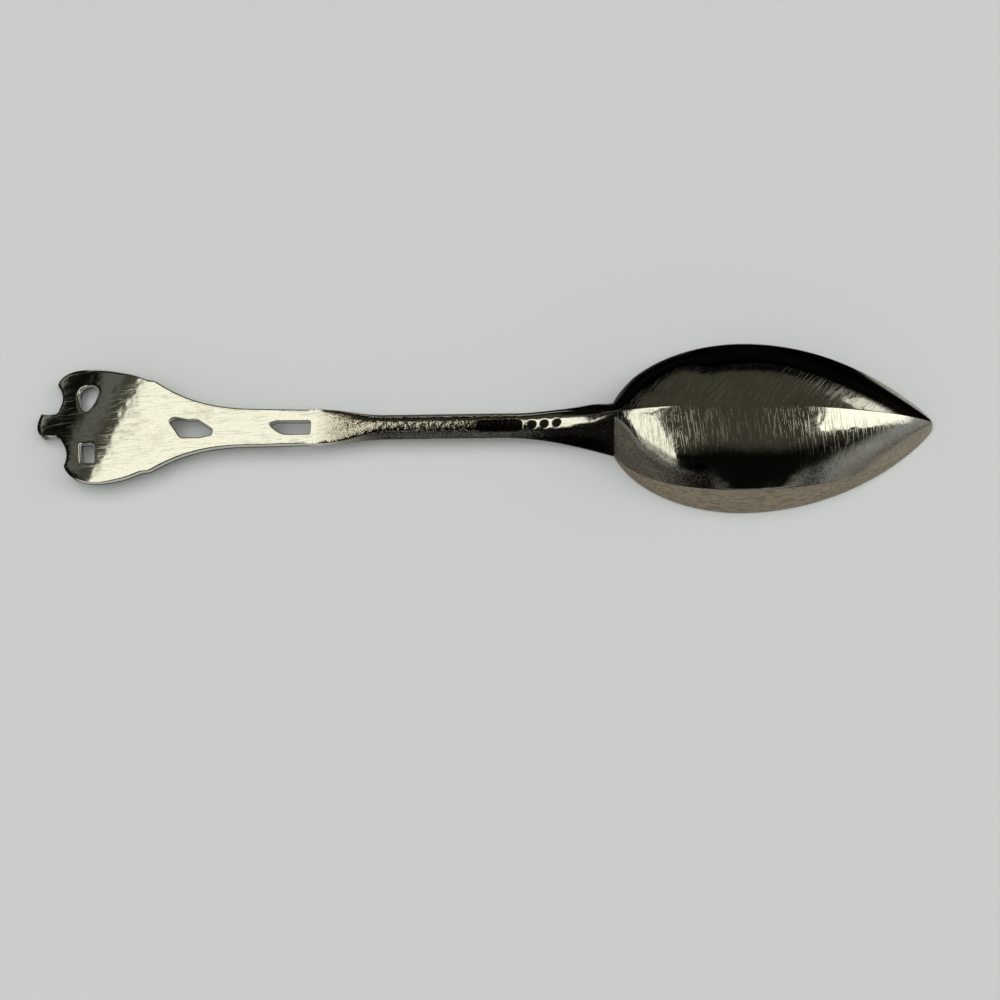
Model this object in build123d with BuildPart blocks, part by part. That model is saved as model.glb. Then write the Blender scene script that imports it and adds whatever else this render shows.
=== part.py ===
from build123d import *
import os
from math import atan, cos, degrees, radians, sin, sqrt, tan
from typing import NamedTuple

# A citrus spoon lying face down. +X runs from the handle's end to the tip of the bowl, +Z is up,
# the bowl's level rim and the finial rest on Z = 0. All sizes in millimetres and degrees.

spoon_length = 151.4

# Bowl, seen from above
bowl_front = 32.1
bowl_rear = 21.2
bowl_width = 29.7
tip_width = 1.0
heel_width = 9.4
point_fullness = 0.84

# Bowl, seen from the side
bowl_height = 11.4
tip_height = 1.1
heel_height = 8.9
crest_back = 36.0
nose_fullness = 0.75

# Bowl, across: a keel along the back, flanks that curve down to a chine, leaning side walls below it
keel_angle = 13.0
keel_limit = 0.45
wall_height = 6.0
wall_limit = 0.8

# Cavity
bowl_wall = 1.0
tip_wall = 2.2
heel_wall = 1.6
cavity_wall_height = 5.4
cavity_end = 0.8
cavity_heel_roundness = 4.0

# Stem: a flared root at the heel, a slim half-round shank and a shoulder that flattens into the plate
root_length = 19.0
root_flare = 2.3
root_rise = 2.0
stem_width = 4.2
stem_thickness = 2.3
shank_wall = 0.35
shoulder_length = 10.7
scarf_angle = 45.0

# Plate at the end of the handle: a waist that flares to a notch, then two round lobes
plate_lift = 2.8
plate_thickness = 1.4
plate_edge = 0.35
plate_neck_width = 6.1
plate_waist_width = 6.6
flare_length = 17.65
flare_hold = 0.48
flare_sweep = 0.25
flare_sweep_width = 10.4
notch_length = 1.55
notch_width = 16.2
lobe_root_width = 16.6
lobe_length = 16.0
lobe_width = 20.9
lobe_swell = 0.27
lobe_round = 0.09
lobe_round_width = 24.4
lobe_tip_width = 15.2
lobe_tip_gap = 1.25
scallop_depth = 0.8
collar_width = 6.0

# Piercings: a slot with a pointed end, an ogee lozenge, a leaf-shaped eye and a squared window
slot_gap = 2.2
slot_length = 7.2
slot_width = 2.2
slot_drop = 0.15
slot_to_joint = 1.4
slot_bevel = 0.18
slot_sweep = 0.4
slot_point = 0.2
lozenge_gap = 2.85
lozenge_length = 7.2
lozenge_width = 3.5
lozenge_drop = 0.2
lozenge_shoulder = 0.62
lozenge_taper = 0.2
lozenge_wave = 0.5
lozenge_blunt = 0.25
lozenge_flat = 0.28
eye_gap = 5.0
eye_offset = 4.75
leaf_length = 3.25
leaf_width = 4.6
leaf_tip = 0.4
leaf_taper = 0.2
leaf_hip = 0.1
leaf_cheek = 0.25
leaf_crown = 0.6
window_offset = 5.3
window_length = 2.3
window_width = 3.3
window_rounding = 0.4

# Finial
finial_length = 3.2
finial_neck_width = 4.1
finial_waist_width = 3.8
knob_width = 4.9
knob_crown = 1.2
knob_rounding = 0.8

# Bends of the handmade end: curled down to the rest about a skewed axis, swayed to +Y and sheared
curl_length = 18.3
curl_skew = 24.0
end_sway = 1.75
end_skew = 0.24

# Extra length on shapes that are trimmed afterwards, and the cavity's reach below the rim
trim = 0.3
cavity_trim = 1.0


class Form(NamedTuple):
    """Shape of a section: breadth of its bottom, breadth and drop of its flank's lower end, lean of its wall."""
    bottom: float
    flank: float
    drop: float
    lean: float


bowl_form = Form(bottom=0.5, flank=0.72, drop=0.51, lean=18.0)
shank_form = Form(bottom=0.56, flank=1.0, drop=0.45, lean=8.0)
plate_form = Form(bottom=0.92, flank=1.0, drop=0.08, lean=0.0)

# Derived places. "back" counts from the tip towards the handle's end.
bowl_length = bowl_front + bowl_rear
plate_length = lobe_length + notch_length + flare_length + slot_gap + slot_length + slot_to_joint
shank_length = spoon_length - bowl_length - root_length - shoulder_length - plate_length - finial_length
tip_x = spoon_length / 2
heel_x = tip_x - bowl_length
shank_x = heel_x - root_length
shoulder_x = shank_x - shank_length
scarf_x = shoulder_x - shoulder_length
slot_x = scarf_x - slot_to_joint - slot_length
waist_x = slot_x - slot_gap
flare_x = waist_x - flare_length
notch_x = flare_x - notch_length
finial_x = notch_x - lobe_length
end_x = finial_x - finial_length
plate_top = plate_lift + plate_thickness
stem_top = plate_lift + stem_thickness

# The crest runs on without a break from the bowl into the stem's root
heel_slope = root_rise * (heel_height - stem_top) / root_length
heel_roundness = heel_slope * (bowl_length - crest_back) / (bowl_height - heel_height)

# The oval behind the bowl's widest place would close at this distance
oval_reach = bowl_rear / sqrt(1 - (heel_width / bowl_width) ** 2)


def blend(start, end, share):
    """Eases from start to end with level slopes at both ends."""
    return start + (end - start) * share * share * (3 - 2 * share)


def blend_forms(start, end, share):
    """Eases from one section shape to another."""
    return Form(*(blend(first, last, share) for first, last in zip(start, end)))


def pointed(back, gap, reach, low, high, fullness):
    """Rises from low at gap behind the tip to high at reach behind it, round at the far end."""
    share = max(0.0, 1 - (back - gap) / (reach - gap))
    return low + (high - low) * (1 - share**2) ** fullness


def oval(back, half_width, reach):
    """Half-width behind the widest place, along an oval that would close at reach."""
    return half_width * sqrt(1 - ((back - bowl_front) / reach) ** 2)


def fall(back, high, low, end, roundness):
    """Falls from high at the crest to low at end, ever steeper."""
    return high - (high - low) * ((back - crest_back) / (end - crest_back)) ** roundness


def side_wall(half, half_width, tallest, crest):
    """Height of the side wall: tallest at the widest place, vanishing towards the tip and the heel."""
    return min(tallest * (half / half_width) ** 2, wall_limit * crest)


def keel(back):
    """Slope of the keel's two sides: full at the tip, gone at the crest."""
    return blend(keel_angle, 0, min(1.0, back / crest_back))


def outer_section(back):
    """Half-width, crest height and side wall of the bowl's outside."""
    half_width = bowl_width / 2
    if back <= bowl_front:
        half = pointed(back, 0, bowl_front, tip_width / 2, half_width, point_fullness)
    else:
        half = oval(back, half_width, oval_reach)
    if back <= crest_back:
        crest = pointed(back, 0, crest_back, tip_height, bowl_height, nose_fullness)
    else:
        crest = fall(back, bowl_height, heel_height, bowl_length, heel_roundness)
    return half, crest, side_wall(half, half_width, wall_height, crest)


def cavity_section(back):
    """Half-width, crest height and side wall of the bowl's inside."""
    half_width = bowl_width / 2 - bowl_wall
    roof = bowl_height - bowl_wall
    if back <= bowl_front:
        half = pointed(back, tip_wall, bowl_front, tip_width / 2, half_width, point_fullness)
    else:
        half = oval(back, half_width, oval_reach - heel_wall)
    if back <= crest_back:
        crest = pointed(back, tip_wall, crest_back, cavity_end, roof, nose_fullness)
    else:
        crest = fall(back, roof, cavity_end, bowl_length - heel_wall, cavity_heel_roundness)
    return half, crest, side_wall(half, half_width, cavity_wall_height, crest)


def hull_profile(x, half, crest, wall, slope, form, low=0.0, below=trim):
    """Section across the spoon at x: on either side a flank from the crest to the chine, a wall to the foot."""
    lean = tan(radians(form.lean))
    chine_y = half - wall * lean
    chine_z = low + wall
    knee = chine_y * form.bottom
    knee_drop = min(knee * tan(radians(slope)), keel_limit * (crest - chine_z))
    flank_z = crest - form.drop * (crest - chine_z)
    foot_y = half + below * lean
    with BuildSketch(Plane.YZ.offset(x)) as profile:
        with BuildLine():
            Bezier((0, crest), (knee, crest - knee_drop), (chine_y * form.flank, flank_z), (chine_y, chine_z))
            Line((chine_y, chine_z), (foot_y, low - below))
            mirror(about=Plane.YZ)
            Line((foot_y, low - below), (-foot_y, low - below))
        make_face()
    return profile.sketch


def front_profile():
    """Side view of what is cut away in front: the level rim, then the stem's front easing up to the plate."""
    far_x = scarf_x - 2 * plate_thickness
    near_x = tip_x + trim
    floor = -3 * trim
    with BuildSketch(Plane.XZ) as profile:
        with BuildLine():
            Polyline((far_x, plate_lift), (far_x, floor), (near_x, floor), (near_x, 0), (heel_x, 0))
            Bezier((heel_x, 0), (heel_x - root_length / 3, 0), (shank_x + root_length / 3, plate_lift),
                   (shank_x, plate_lift))
            Line((shank_x, plate_lift), (far_x, plate_lift))
        make_face()
    return profile.sketch


# Places of the bowl's sections, closer together at the tip and at the heel
front_steps, rear_steps = 5, 4
tip_crowding, heel_crowding = 1.7, 1.5
front_places = [bowl_front * (i / front_steps) ** tip_crowding for i in range(front_steps + 1)]
rear_places = [bowl_rear * (1 - (1 - i / rear_steps) ** heel_crowding) for i in range(1, rear_steps + 1)]
bowl_places = front_places + [bowl_front + place for place in rear_places]
cavity_share = (bowl_length - heel_wall - tip_wall) / bowl_length
cavity_places = [tip_wall + place * cavity_share for place in bowl_places]

# The boat-shaped bowl: a keeled, chined hull lofted from tip to heel, hollowed and trimmed level at the rim
with BuildPart() as bowl:
    hull = []
    for back in bowl_places:
        half, crest, wall = outer_section(back)
        hull.append(hull_profile(tip_x - back, half, crest, wall, keel(back), bowl_form))
    loft(hull)
    cavity = []
    for back in cavity_places:
        half, crest, wall = cavity_section(back)
        section = hull_profile(tip_x - back, half, crest, wall, keel(back), bowl_form, below=cavity_trim)
        cavity.append(section)
    loft(cavity, mode=Mode.SUBTRACT)
    extrude(front_profile(), amount=bowl_width, both=True, mode=Mode.SUBTRACT)
bowl.part.label = "bowl"

# Plane of the soldered scarf between the stem and the pierced plate
scarf = Plane(
    origin=(scarf_x, 0, plate_lift + plate_thickness / 2),
    z_dir=(sin(radians(scarf_angle)), 0, cos(radians(scarf_angle))),
)

# Shares of each stretch of the stem at which it has a section, and the run past the scarf
root_shares = (0, 0.12, 0.3, 0.52, 0.76, 1)
shank_shares = (0.5, 1)
shoulder_shares = (0.35, 0.7, 1, 1 + plate_thickness / shoulder_length)

# The stem: starts with the bowl's own heel section and ends flat, as wide and thick as the plate
heel_half, heel_crest, heel_side = outer_section(bowl_length)
with BuildPart() as stem:
    bar = []
    for share in root_shares:
        half = stem_width / 2 + (heel_half - stem_width / 2) * (1 - share) ** root_flare
        crest = stem_top + (heel_crest - stem_top) * (1 - share) ** root_rise
        wall = blend(heel_side, shank_wall, share)
        form = blend_forms(bowl_form, shank_form, share)
        low = blend(0, plate_lift, share)
        bar.append(hull_profile(heel_x - root_length * share, half, crest, wall, 0, form, low))
    for share in shank_shares:
        x = shank_x - shank_length * share
        bar.append(hull_profile(x, stem_width / 2, stem_top, shank_wall, 0, shank_form, plate_lift))
    for share in shoulder_shares:
        level = min(1.0, share)
        half = blend(stem_width, plate_neck_width, level) / 2
        crest = blend(stem_top, plate_top, level)
        wall = blend(shank_wall, plate_thickness - plate_edge, level)
        form = blend_forms(shank_form, plate_form, level)
        bar.append(hull_profile(shoulder_x - shoulder_length * share, half, crest, wall, 0, form, plate_lift))
    loft(bar)
    extrude(front_profile(), amount=bowl_width, both=True, mode=Mode.SUBTRACT)
    split(bisect_by=scarf, keep=Keep.TOP)
stem.part.label = "stem"


def handle_point(x, y):
    """A place on the plate or the finial, swayed and sheared ever more towards the hand-bent end."""
    sway = end_sway * max(0.0, (scarf_x - x) / (scarf_x - end_x)) ** 2
    skew = end_skew * max(0.0, (notch_x - x) / (notch_x - end_x))
    return x - skew * y, y + sway


def handle_points(side, *places):
    """Several such places, on the +Y side for side 1 and mirrored before the bending for side -1."""
    return [handle_point(x, side * y) for x, y in places]


# The curl brings the underside of the finial's lowest corner down to the rest
knob_x = end_x + knob_crown
curl_x = end_x + curl_length
curl_shear = tan(radians(curl_skew))
corner_x, corner_y = handle_point(knob_x, knob_width / 2)
curl_reach = curl_x - corner_x + curl_shear * corner_y
curl_turn = 2 * atan(plate_lift / curl_reach)
curl_radius = curl_reach / sin(curl_turn)


def bent_band():
    """Side view of the plate and the finial: level, then bent down on an arc a little past the end."""
    turn = degrees(curl_turn + atan(2 * plate_thickness / curl_radius))
    middle = (curl_x, plate_lift - curl_radius)
    start_x = scarf_x + 3 * plate_thickness
    near_side = Plane(origin=(-lobe_width * curl_shear, -lobe_width, 0), x_dir=(1, 0, 0), z_dir=(0, -1, 0))
    with BuildSketch(near_side) as band:
        with BuildLine():
            under = CenterArc(middle, curl_radius, 90, turn)
            over = CenterArc(middle, curl_radius + plate_thickness, 90, turn)
            Line(under @ 1, over @ 1)
            Polyline(over @ 0, (start_x, plate_top), (start_x, plate_lift), under @ 0)
        make_face()
    return band.sketch


def plate_outline():
    """The plate from above: neck, waist, flare, notch and lobe on either side, scalloped in to the finial."""
    joint_x = scarf_x + plate_thickness
    lobe_end_x = finial_x + lobe_tip_gap
    scallop_y = (lobe_tip_width + collar_width) / 4
    with BuildSketch() as outline:
        with BuildLine():
            for side in (1, -1):
                Line(*handle_points(side, (joint_x, plate_neck_width / 2), (waist_x, plate_waist_width / 2)))
                Bezier(*handle_points(
                    side,
                    (waist_x, plate_waist_width / 2),
                    (waist_x - flare_length * flare_hold, plate_waist_width / 2),
                    (flare_x + flare_length * flare_sweep, flare_sweep_width / 2),
                    (flare_x, notch_width / 2),
                ))
                Line(*handle_points(side, (flare_x, notch_width / 2), (notch_x, lobe_root_width / 2)))
                Bezier(*handle_points(
                    side,
                    (notch_x, lobe_root_width / 2),
                    (notch_x - lobe_length * lobe_swell, lobe_width / 2),
                    (lobe_end_x + lobe_length * lobe_round, lobe_round_width / 2),
                    (lobe_end_x, lobe_tip_width / 2),
                ))
                ThreePointArc(*handle_points(
                    side,
                    (lobe_end_x, lobe_tip_width / 2),
                    (lobe_end_x + scallop_depth, scallop_y),
                    (lobe_end_x, collar_width / 2),
                ))
                Bezier(*handle_points(
                    side,
                    (lobe_end_x, collar_width / 2),
                    (lobe_end_x, finial_neck_width / 2),
                    (finial_x, finial_neck_width / 2),
                ))
            Line((joint_x, plate_neck_width / 2), (joint_x, -plate_neck_width / 2))
            Line(*(handle_point(finial_x, side * finial_neck_width / 2) for side in (1, -1)))
        make_face()
    return outline.sketch


def slot_shape():
    """A slot, square at the stem and swept to a point at the other end."""
    top, low = slot_width / 2 - slot_drop, -slot_width / 2 - slot_drop
    bevel_x = slot_x + slot_length * slot_bevel
    sweep_x = slot_x + slot_length * slot_sweep
    far_x = slot_x + slot_length
    point = (slot_x, top - slot_width * slot_point)
    with BuildSketch() as slot:
        with BuildLine():
            Polyline(*handle_points(1, point, (bevel_x, top), (far_x, top), (far_x, low), (sweep_x, low)))
            Bezier(*handle_points(1, (sweep_x, low), ((slot_x + sweep_x) / 2, low), point))
        make_face()
    return slot.sketch


def lozenge_shape():
    """A lozenge with a wavy upper side, a blunt end towards the stem and a pointed one towards the lobes."""
    top, low = lozenge_width / 2 - lozenge_drop, -lozenge_width / 2 - lozenge_drop
    lozenge_x = flare_x + lozenge_gap
    far_x = lozenge_x + lozenge_length
    point = (lozenge_x, top * lozenge_wave)
    rise = (lozenge_x + lozenge_length * lozenge_flat / 2, top * (1 + lozenge_wave))
    dip = (lozenge_x + lozenge_length * lozenge_shoulder / 2, top * lozenge_wave)
    shoulder = (lozenge_x + lozenge_length * lozenge_shoulder, top * (1 - lozenge_taper))
    with BuildSketch() as lozenge:
        with BuildLine():
            Bezier(*handle_points(1, point, rise, dip, shoulder))
            Polyline(*handle_points(
                1,
                shoulder,
                (far_x, low * lozenge_blunt),
                (far_x, low * (1 - lozenge_flat)),
                (far_x - lozenge_length * lozenge_flat, low),
                (lozenge_x + lozenge_length * lozenge_flat, low),
                point,
            ))
        make_face()
    return lozenge.sketch


def leaf_shape():
    """A leaf with a round crown away from the centre line and its tip towards it."""
    low, top = eye_offset - leaf_width / 2, eye_offset + leaf_width / 2
    near_x, far_x = finial_x + eye_gap, finial_x + eye_gap + leaf_length
    tip = (near_x + leaf_length * leaf_tip, low)
    near_hip = (near_x, eye_offset + leaf_width * leaf_hip)
    far_hip = (far_x, eye_offset + leaf_width * leaf_cheek)
    flank = (far_x - leaf_length * leaf_taper, (low + eye_offset) / 2)
    crown_y = top + (top - far_hip[1]) * leaf_crown
    with BuildSketch() as leaf:
        with BuildLine():
            Bezier(*handle_points(1, near_hip, (near_x, crown_y), (far_x, crown_y), far_hip))
            Bezier(*handle_points(1, far_hip, flank, tip))
            Bezier(*handle_points(1, tip, (near_x, low), near_hip))
        make_face()
    return leaf.sketch


def window_shape():
    """A squared window with rounded corners."""
    near_x, far_x = finial_x + eye_gap, finial_x + eye_gap + window_length
    low, top = window_offset - window_width / 2, window_offset + window_width / 2
    with BuildSketch() as window:
        with BuildLine():
            Polyline(*handle_points(-1, (near_x, low), (far_x, low), (far_x, top), (near_x, top)), close=True)
        make_face()
        fillet(window.vertices(), window_rounding)
    return window.sketch


# The pierced plate, bent in side view, sawn through four times and cut at the scarf
bend_axis = (curl_shear, 1, 0)
with BuildPart() as terminal:
    extrude(plate_outline(), amount=2 * plate_top)
    extrude(bent_band(), amount=2 * lobe_width, dir=bend_axis, mode=Mode.INTERSECT)
    for piercing in (slot_shape(), lozenge_shape(), leaf_shape(), window_shape()):
        extrude(piercing, amount=2 * plate_top, mode=Mode.SUBTRACT)
    split(bisect_by=scarf, keep=Keep.BOTTOM)
terminal.part.label = "terminal"

# The finial: a short waisted neck with a flared, crowned end whose upper edge is well rounded
with BuildPart() as finial:
    with BuildSketch():
        with BuildLine():
            waist = (finial_x - finial_length / 2, finial_waist_width / 2)
            for side in (1, -1):
                corner = handle_point(knob_x, side * knob_width / 2)
                neck = handle_points(side, (finial_x, finial_neck_width / 2), waist)
                Bezier(*neck, corner)
                Bezier(corner, (end_x, end_sway + side * knob_width / 4), (end_x, end_sway))
            Line(*(handle_point(finial_x, side * finial_neck_width / 2) for side in (1, -1)))
        make_face()
    extrude(amount=2 * plate_top)
    extrude(bent_band(), amount=2 * lobe_width, dir=bend_axis, mode=Mode.INTERSECT)
    upper_face = finial.faces().sort_by(Axis.Z)[-1]
    fillet(upper_face.edges().sort_by(Axis.X)[:2], knob_rounding)
finial.part.label = "finial"

os.makedirs("parts", exist_ok=True)
export_step(bowl.part, "parts/bowl.step")
export_step(stem.part, "parts/stem.step")
export_step(terminal.part, "parts/terminal.step")
export_step(finial.part, "parts/finial.step")
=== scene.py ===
"""A citrus spoon in worn silver, laid face down on a pale floor."""
from math import atan, cos, pi, radians, sin, sqrt, tan
from types import SimpleNamespace

import bmesh
import bpy
import numpy as np
from bpy.props import FloatProperty, FloatVectorProperty, PointerProperty
from bpy.types import Operator, Panel, PropertyGroup
from mathutils import Matrix
from mathutils.geometry import delaunay_2d_cdt


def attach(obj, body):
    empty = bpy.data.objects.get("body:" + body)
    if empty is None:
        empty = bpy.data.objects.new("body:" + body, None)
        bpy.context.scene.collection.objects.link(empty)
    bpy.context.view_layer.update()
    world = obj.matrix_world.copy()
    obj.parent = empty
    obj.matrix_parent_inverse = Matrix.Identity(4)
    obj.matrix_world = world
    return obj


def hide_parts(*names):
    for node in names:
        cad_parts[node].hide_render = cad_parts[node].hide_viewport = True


bl_info = {
    "name": "Citrus spoon",
    "version": (1, 0, 0),
    "blender": (4, 5, 0),
    "location": "View3D > Sidebar > Spoon",
    "description": "Bowl, stem, pierced terminal and finial of a silver citrus spoon, with a studio stage",
    "category": "Add Mesh",
}

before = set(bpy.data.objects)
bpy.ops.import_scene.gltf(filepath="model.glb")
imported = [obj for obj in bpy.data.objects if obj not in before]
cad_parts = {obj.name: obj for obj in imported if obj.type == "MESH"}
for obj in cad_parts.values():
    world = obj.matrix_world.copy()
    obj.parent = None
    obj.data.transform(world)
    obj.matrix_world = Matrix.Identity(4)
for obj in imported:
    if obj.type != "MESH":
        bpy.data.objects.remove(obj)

# Millimetres to the metre
MM = 1000.0

# Points across a flank, a chine and a wall, along and round the two skins, and along the outlines
FLANK_STEPS, CHINE_STEPS, WALL_STEPS = 64, 7, 8
BOWL_ROWS, BOWL_BEAD, STEM_ROWS, STEM_BEAD = 240, 9, 430, 25
LINE_STEPS, ARC_STEPS, CURVE_STEPS = 40, 60, 120
# How much of the spacing of the bowl's rows is even, and how much is closer at both ends
EVEN_ROWS, END_ROWS = 0.55, 0.45
# Points closer than this are merged, and edges that turn by more than this stay sharp
MERGE, CREASE = 2e-6, radians(38.0)

# Most of the crest's height that the rim's rounding takes, the least wall above it, and how square the rim
# and the flat front of the stem are
LIP_LIMIT, LIP_ROOM = 0.3, 1.15
RIM_POWER, FRONT_POWER = 2.6, 5.0
# Changes of form along the bowl: place behind the tip, and length of the change
KEEL_SHARPENS, KEEL_SOFTENS = (0.034, 0.011), 0.047
SHOULDER_FILLS, SHOULDER_FADES = (0.036, 0.008), 0.0495
# Changes along the stem: place past the heel, and length of the change
ROOT_BROADENS, ROOT_NARROWS = (0.0, 0.004), (0.009, 0.008)
PITS_START = (0.012, 0.006)
# Changes along the stem and the plate: place past their slanting joint, and length of the change
PITS_END, EDGE_SQUARES = (-0.004, 0.005), (-0.0016, 0.0012)
JOINT_SLANTS, JOINT_SHARPENS = (-0.003, 0.003), (-0.0030, 0.0026)
# What a full heel shoulder or root adds to the flank's upper and lower breadth and takes off its drop
SHOULDER_FORM, ROOT_FORM = (0.07, 0.17, 0.12), (0.26, 0.06, 0.22)
# Section of the stem where it meets the plate: breadths and drop of the flank, and lean of the wall
PLATE_FORM = (0.92, 1.0, 0.08, 0.0)
# Rounding of the piercings' edges and of the finial's neck, as a share of the plate's
FINE_EDGE = 0.7

# Strength of the painted dark reflection on the bowl's sides: the flanks, the near side at the tip, in the
# middle and at the heel
FLANK_DARK, TIP_DARK, MIDDLE_DARK, HEEL_DARK = 0.95, 0.5, 0.9, 0.65
# Strength of the darker brown on steep flanks, partly real dulling and partly painted dark reflection, and
# inside the bowl, where it is real dulling
FLANK_DULL_AND_REFLECTION, INSIDE_DULL = 0.85, 0.35
# Changes of the painted dark reflection along the bowl's near side: place behind the tip, and length of the
# change
DARK_STARTS, DARK_ENDS = (0.016, 0.010), (0.038, 0.008)
MIDDLE_STARTS, MIDDLE_ENDS = (0.020, 0.008), (0.034, 0.006)
WALL_DARKENS = (0.020, 0.009)
# Slopes, in degrees, between which the painted dark reflection, the darker brown or the plain wall sets in
FAR_SLOPES, DULL_AND_REFLECTION_SLOPES, WALL_SLOPES = (22.0, 29.0), (38.0, 50.0), (46.0, 54.0)
TIP_SLOPES, MIDDLE_SLOPES, HEEL_SLOPES = (23.0, 31.0), (33.0, 44.0), (25.0, 33.0)
SHANK_SLOPES, ROOT_SLOPES = (30.0, 42.0), (21.0, 31.0)
# Strength of the painted dark reflection on the steep sides of the shank, at the root and at the plate, and
# of the real blackening in the sunk places
SHANK_DARK, ROOT_DARK, PLATE_DARK, SUNK_DARK = 0.65, 0.9, 0.3, 0.9
# Changes of the painted dark reflection towards the heel, in shares of the root's length
ROOT_DARKENS, ROOT_SPREADS = (0.0, 0.625), (0.55, 0.15)
# Painted shade on the plate's walls: strength on its outline, and how high the dark goes, in shares of the
# thickness, in the piercings (partly real blackening), on the outline and, on top of that, at the lobes' end,
# and how softly it stops
RIM_DARK = 0.85
HOLE_TOP, RIM_TOP, END_TOP, DARK_SOFT = 0.4, 0.15, 0.8, 0.35
END_STARTS = (0.004, 0.004)


def size(name, text, default):
    """A length in metres."""
    return FloatProperty(name=name, description=text, default=default, min=0.0, precision=5, unit="LENGTH")


def share(name, text, default, top=4.0):
    """A plain number, such as a share of a size or an exponent."""
    return FloatProperty(name=name, description=text, default=default, min=0.0, max=top)


def angle(name, text, default):
    """An angle, given in degrees and kept in radians."""
    return FloatProperty(name=name, description=text, default=radians(default), subtype="ANGLE")


def watts(name, text, default):
    """The power of a light."""
    return FloatProperty(name=name, description=text, default=default, min=0.0)


def colour(name, text, default):
    """A linear colour."""
    return FloatVectorProperty(
        name=name, description=text, default=default, size=3, min=0.0, max=1.0, subtype="COLOR")


class BowlSizes(PropertyGroup):
    front: size("Front", "Tip to the widest place", 0.0321)
    rear: size("Rear", "Widest place to the heel", 0.0212)
    width: size("Width", "Widest place, across", 0.0297)
    tip_width: size("Tip width", "Width of the blunt tip", 0.001)
    heel_width: size("Heel width", "Width where the stem starts", 0.0094)
    fullness: share("Point fullness", "How full the point is, seen from above", 0.84)
    height: size("Height", "Crest above the rest", 0.0114)
    tip_height: size("Tip height", "Thickness of the tip", 0.0011)
    heel_height: size("Heel height", "Crest at the heel", 0.0089)
    crest_back: size("Crest", "Tip to the highest place", 0.036)
    nose: share("Nose fullness", "How full the nose is, seen from the side", 0.75)
    keel: angle("Keel", "Slope of the two sides of the keel at the tip", 13.0)
    keel_middle: angle("Keel middle", "Slope of the two sides of the keel at the crest", 6.0)
    keel_rear: angle("Keel rear", "Slope of the two sides of the keel in front of the heel", 17.0)
    keel_heel: angle("Keel heel", "Slope of the two sides of the keel at the heel", 10.0)
    keel_limit: share("Keel limit", "Most that the keel takes of the flank's height", 0.45)
    wall_height: size("Wall height", "Height of the leaning side walls at the widest place", 0.006)
    wall_limit: share("Wall limit", "Most that the side walls take of the height", 0.8)
    bottom: share("Bottom", "Breadth of the flank's upper handle", 0.5)
    flank: share("Flank", "Breadth of the flank's lower handle", 0.72)
    drop: share("Drop", "Drop of the flank's lower handle", 0.51)
    lean: angle("Lean", "Lean of the side walls", 18.0)
    wall: size("Wall", "Thickness of the wall", 0.001)
    tip_wall: size("Tip wall", "Metal in front of the cavity", 0.0022)
    heel_wall: size("Heel wall", "Metal behind the cavity", 0.0016)
    cavity_wall: size("Cavity wall", "Height of the cavity's side walls", 0.0054)
    cavity_end: size("Cavity end", "Depth of the cavity at its ends", 0.0008)
    cavity_roundness: share("Cavity roundness", "How late the cavity's roof falls to the heel", 4.0, 8.0)
    rim_round: size("Rim rounding", "Rounding of the rim's edges", 0.0003)
    tip_round: size("Tip rounding", "Rounding of the tip", 0.0007)
    chine_round: size("Chine rounding", "Rounding between flank and side wall", 0.0004)


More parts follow.
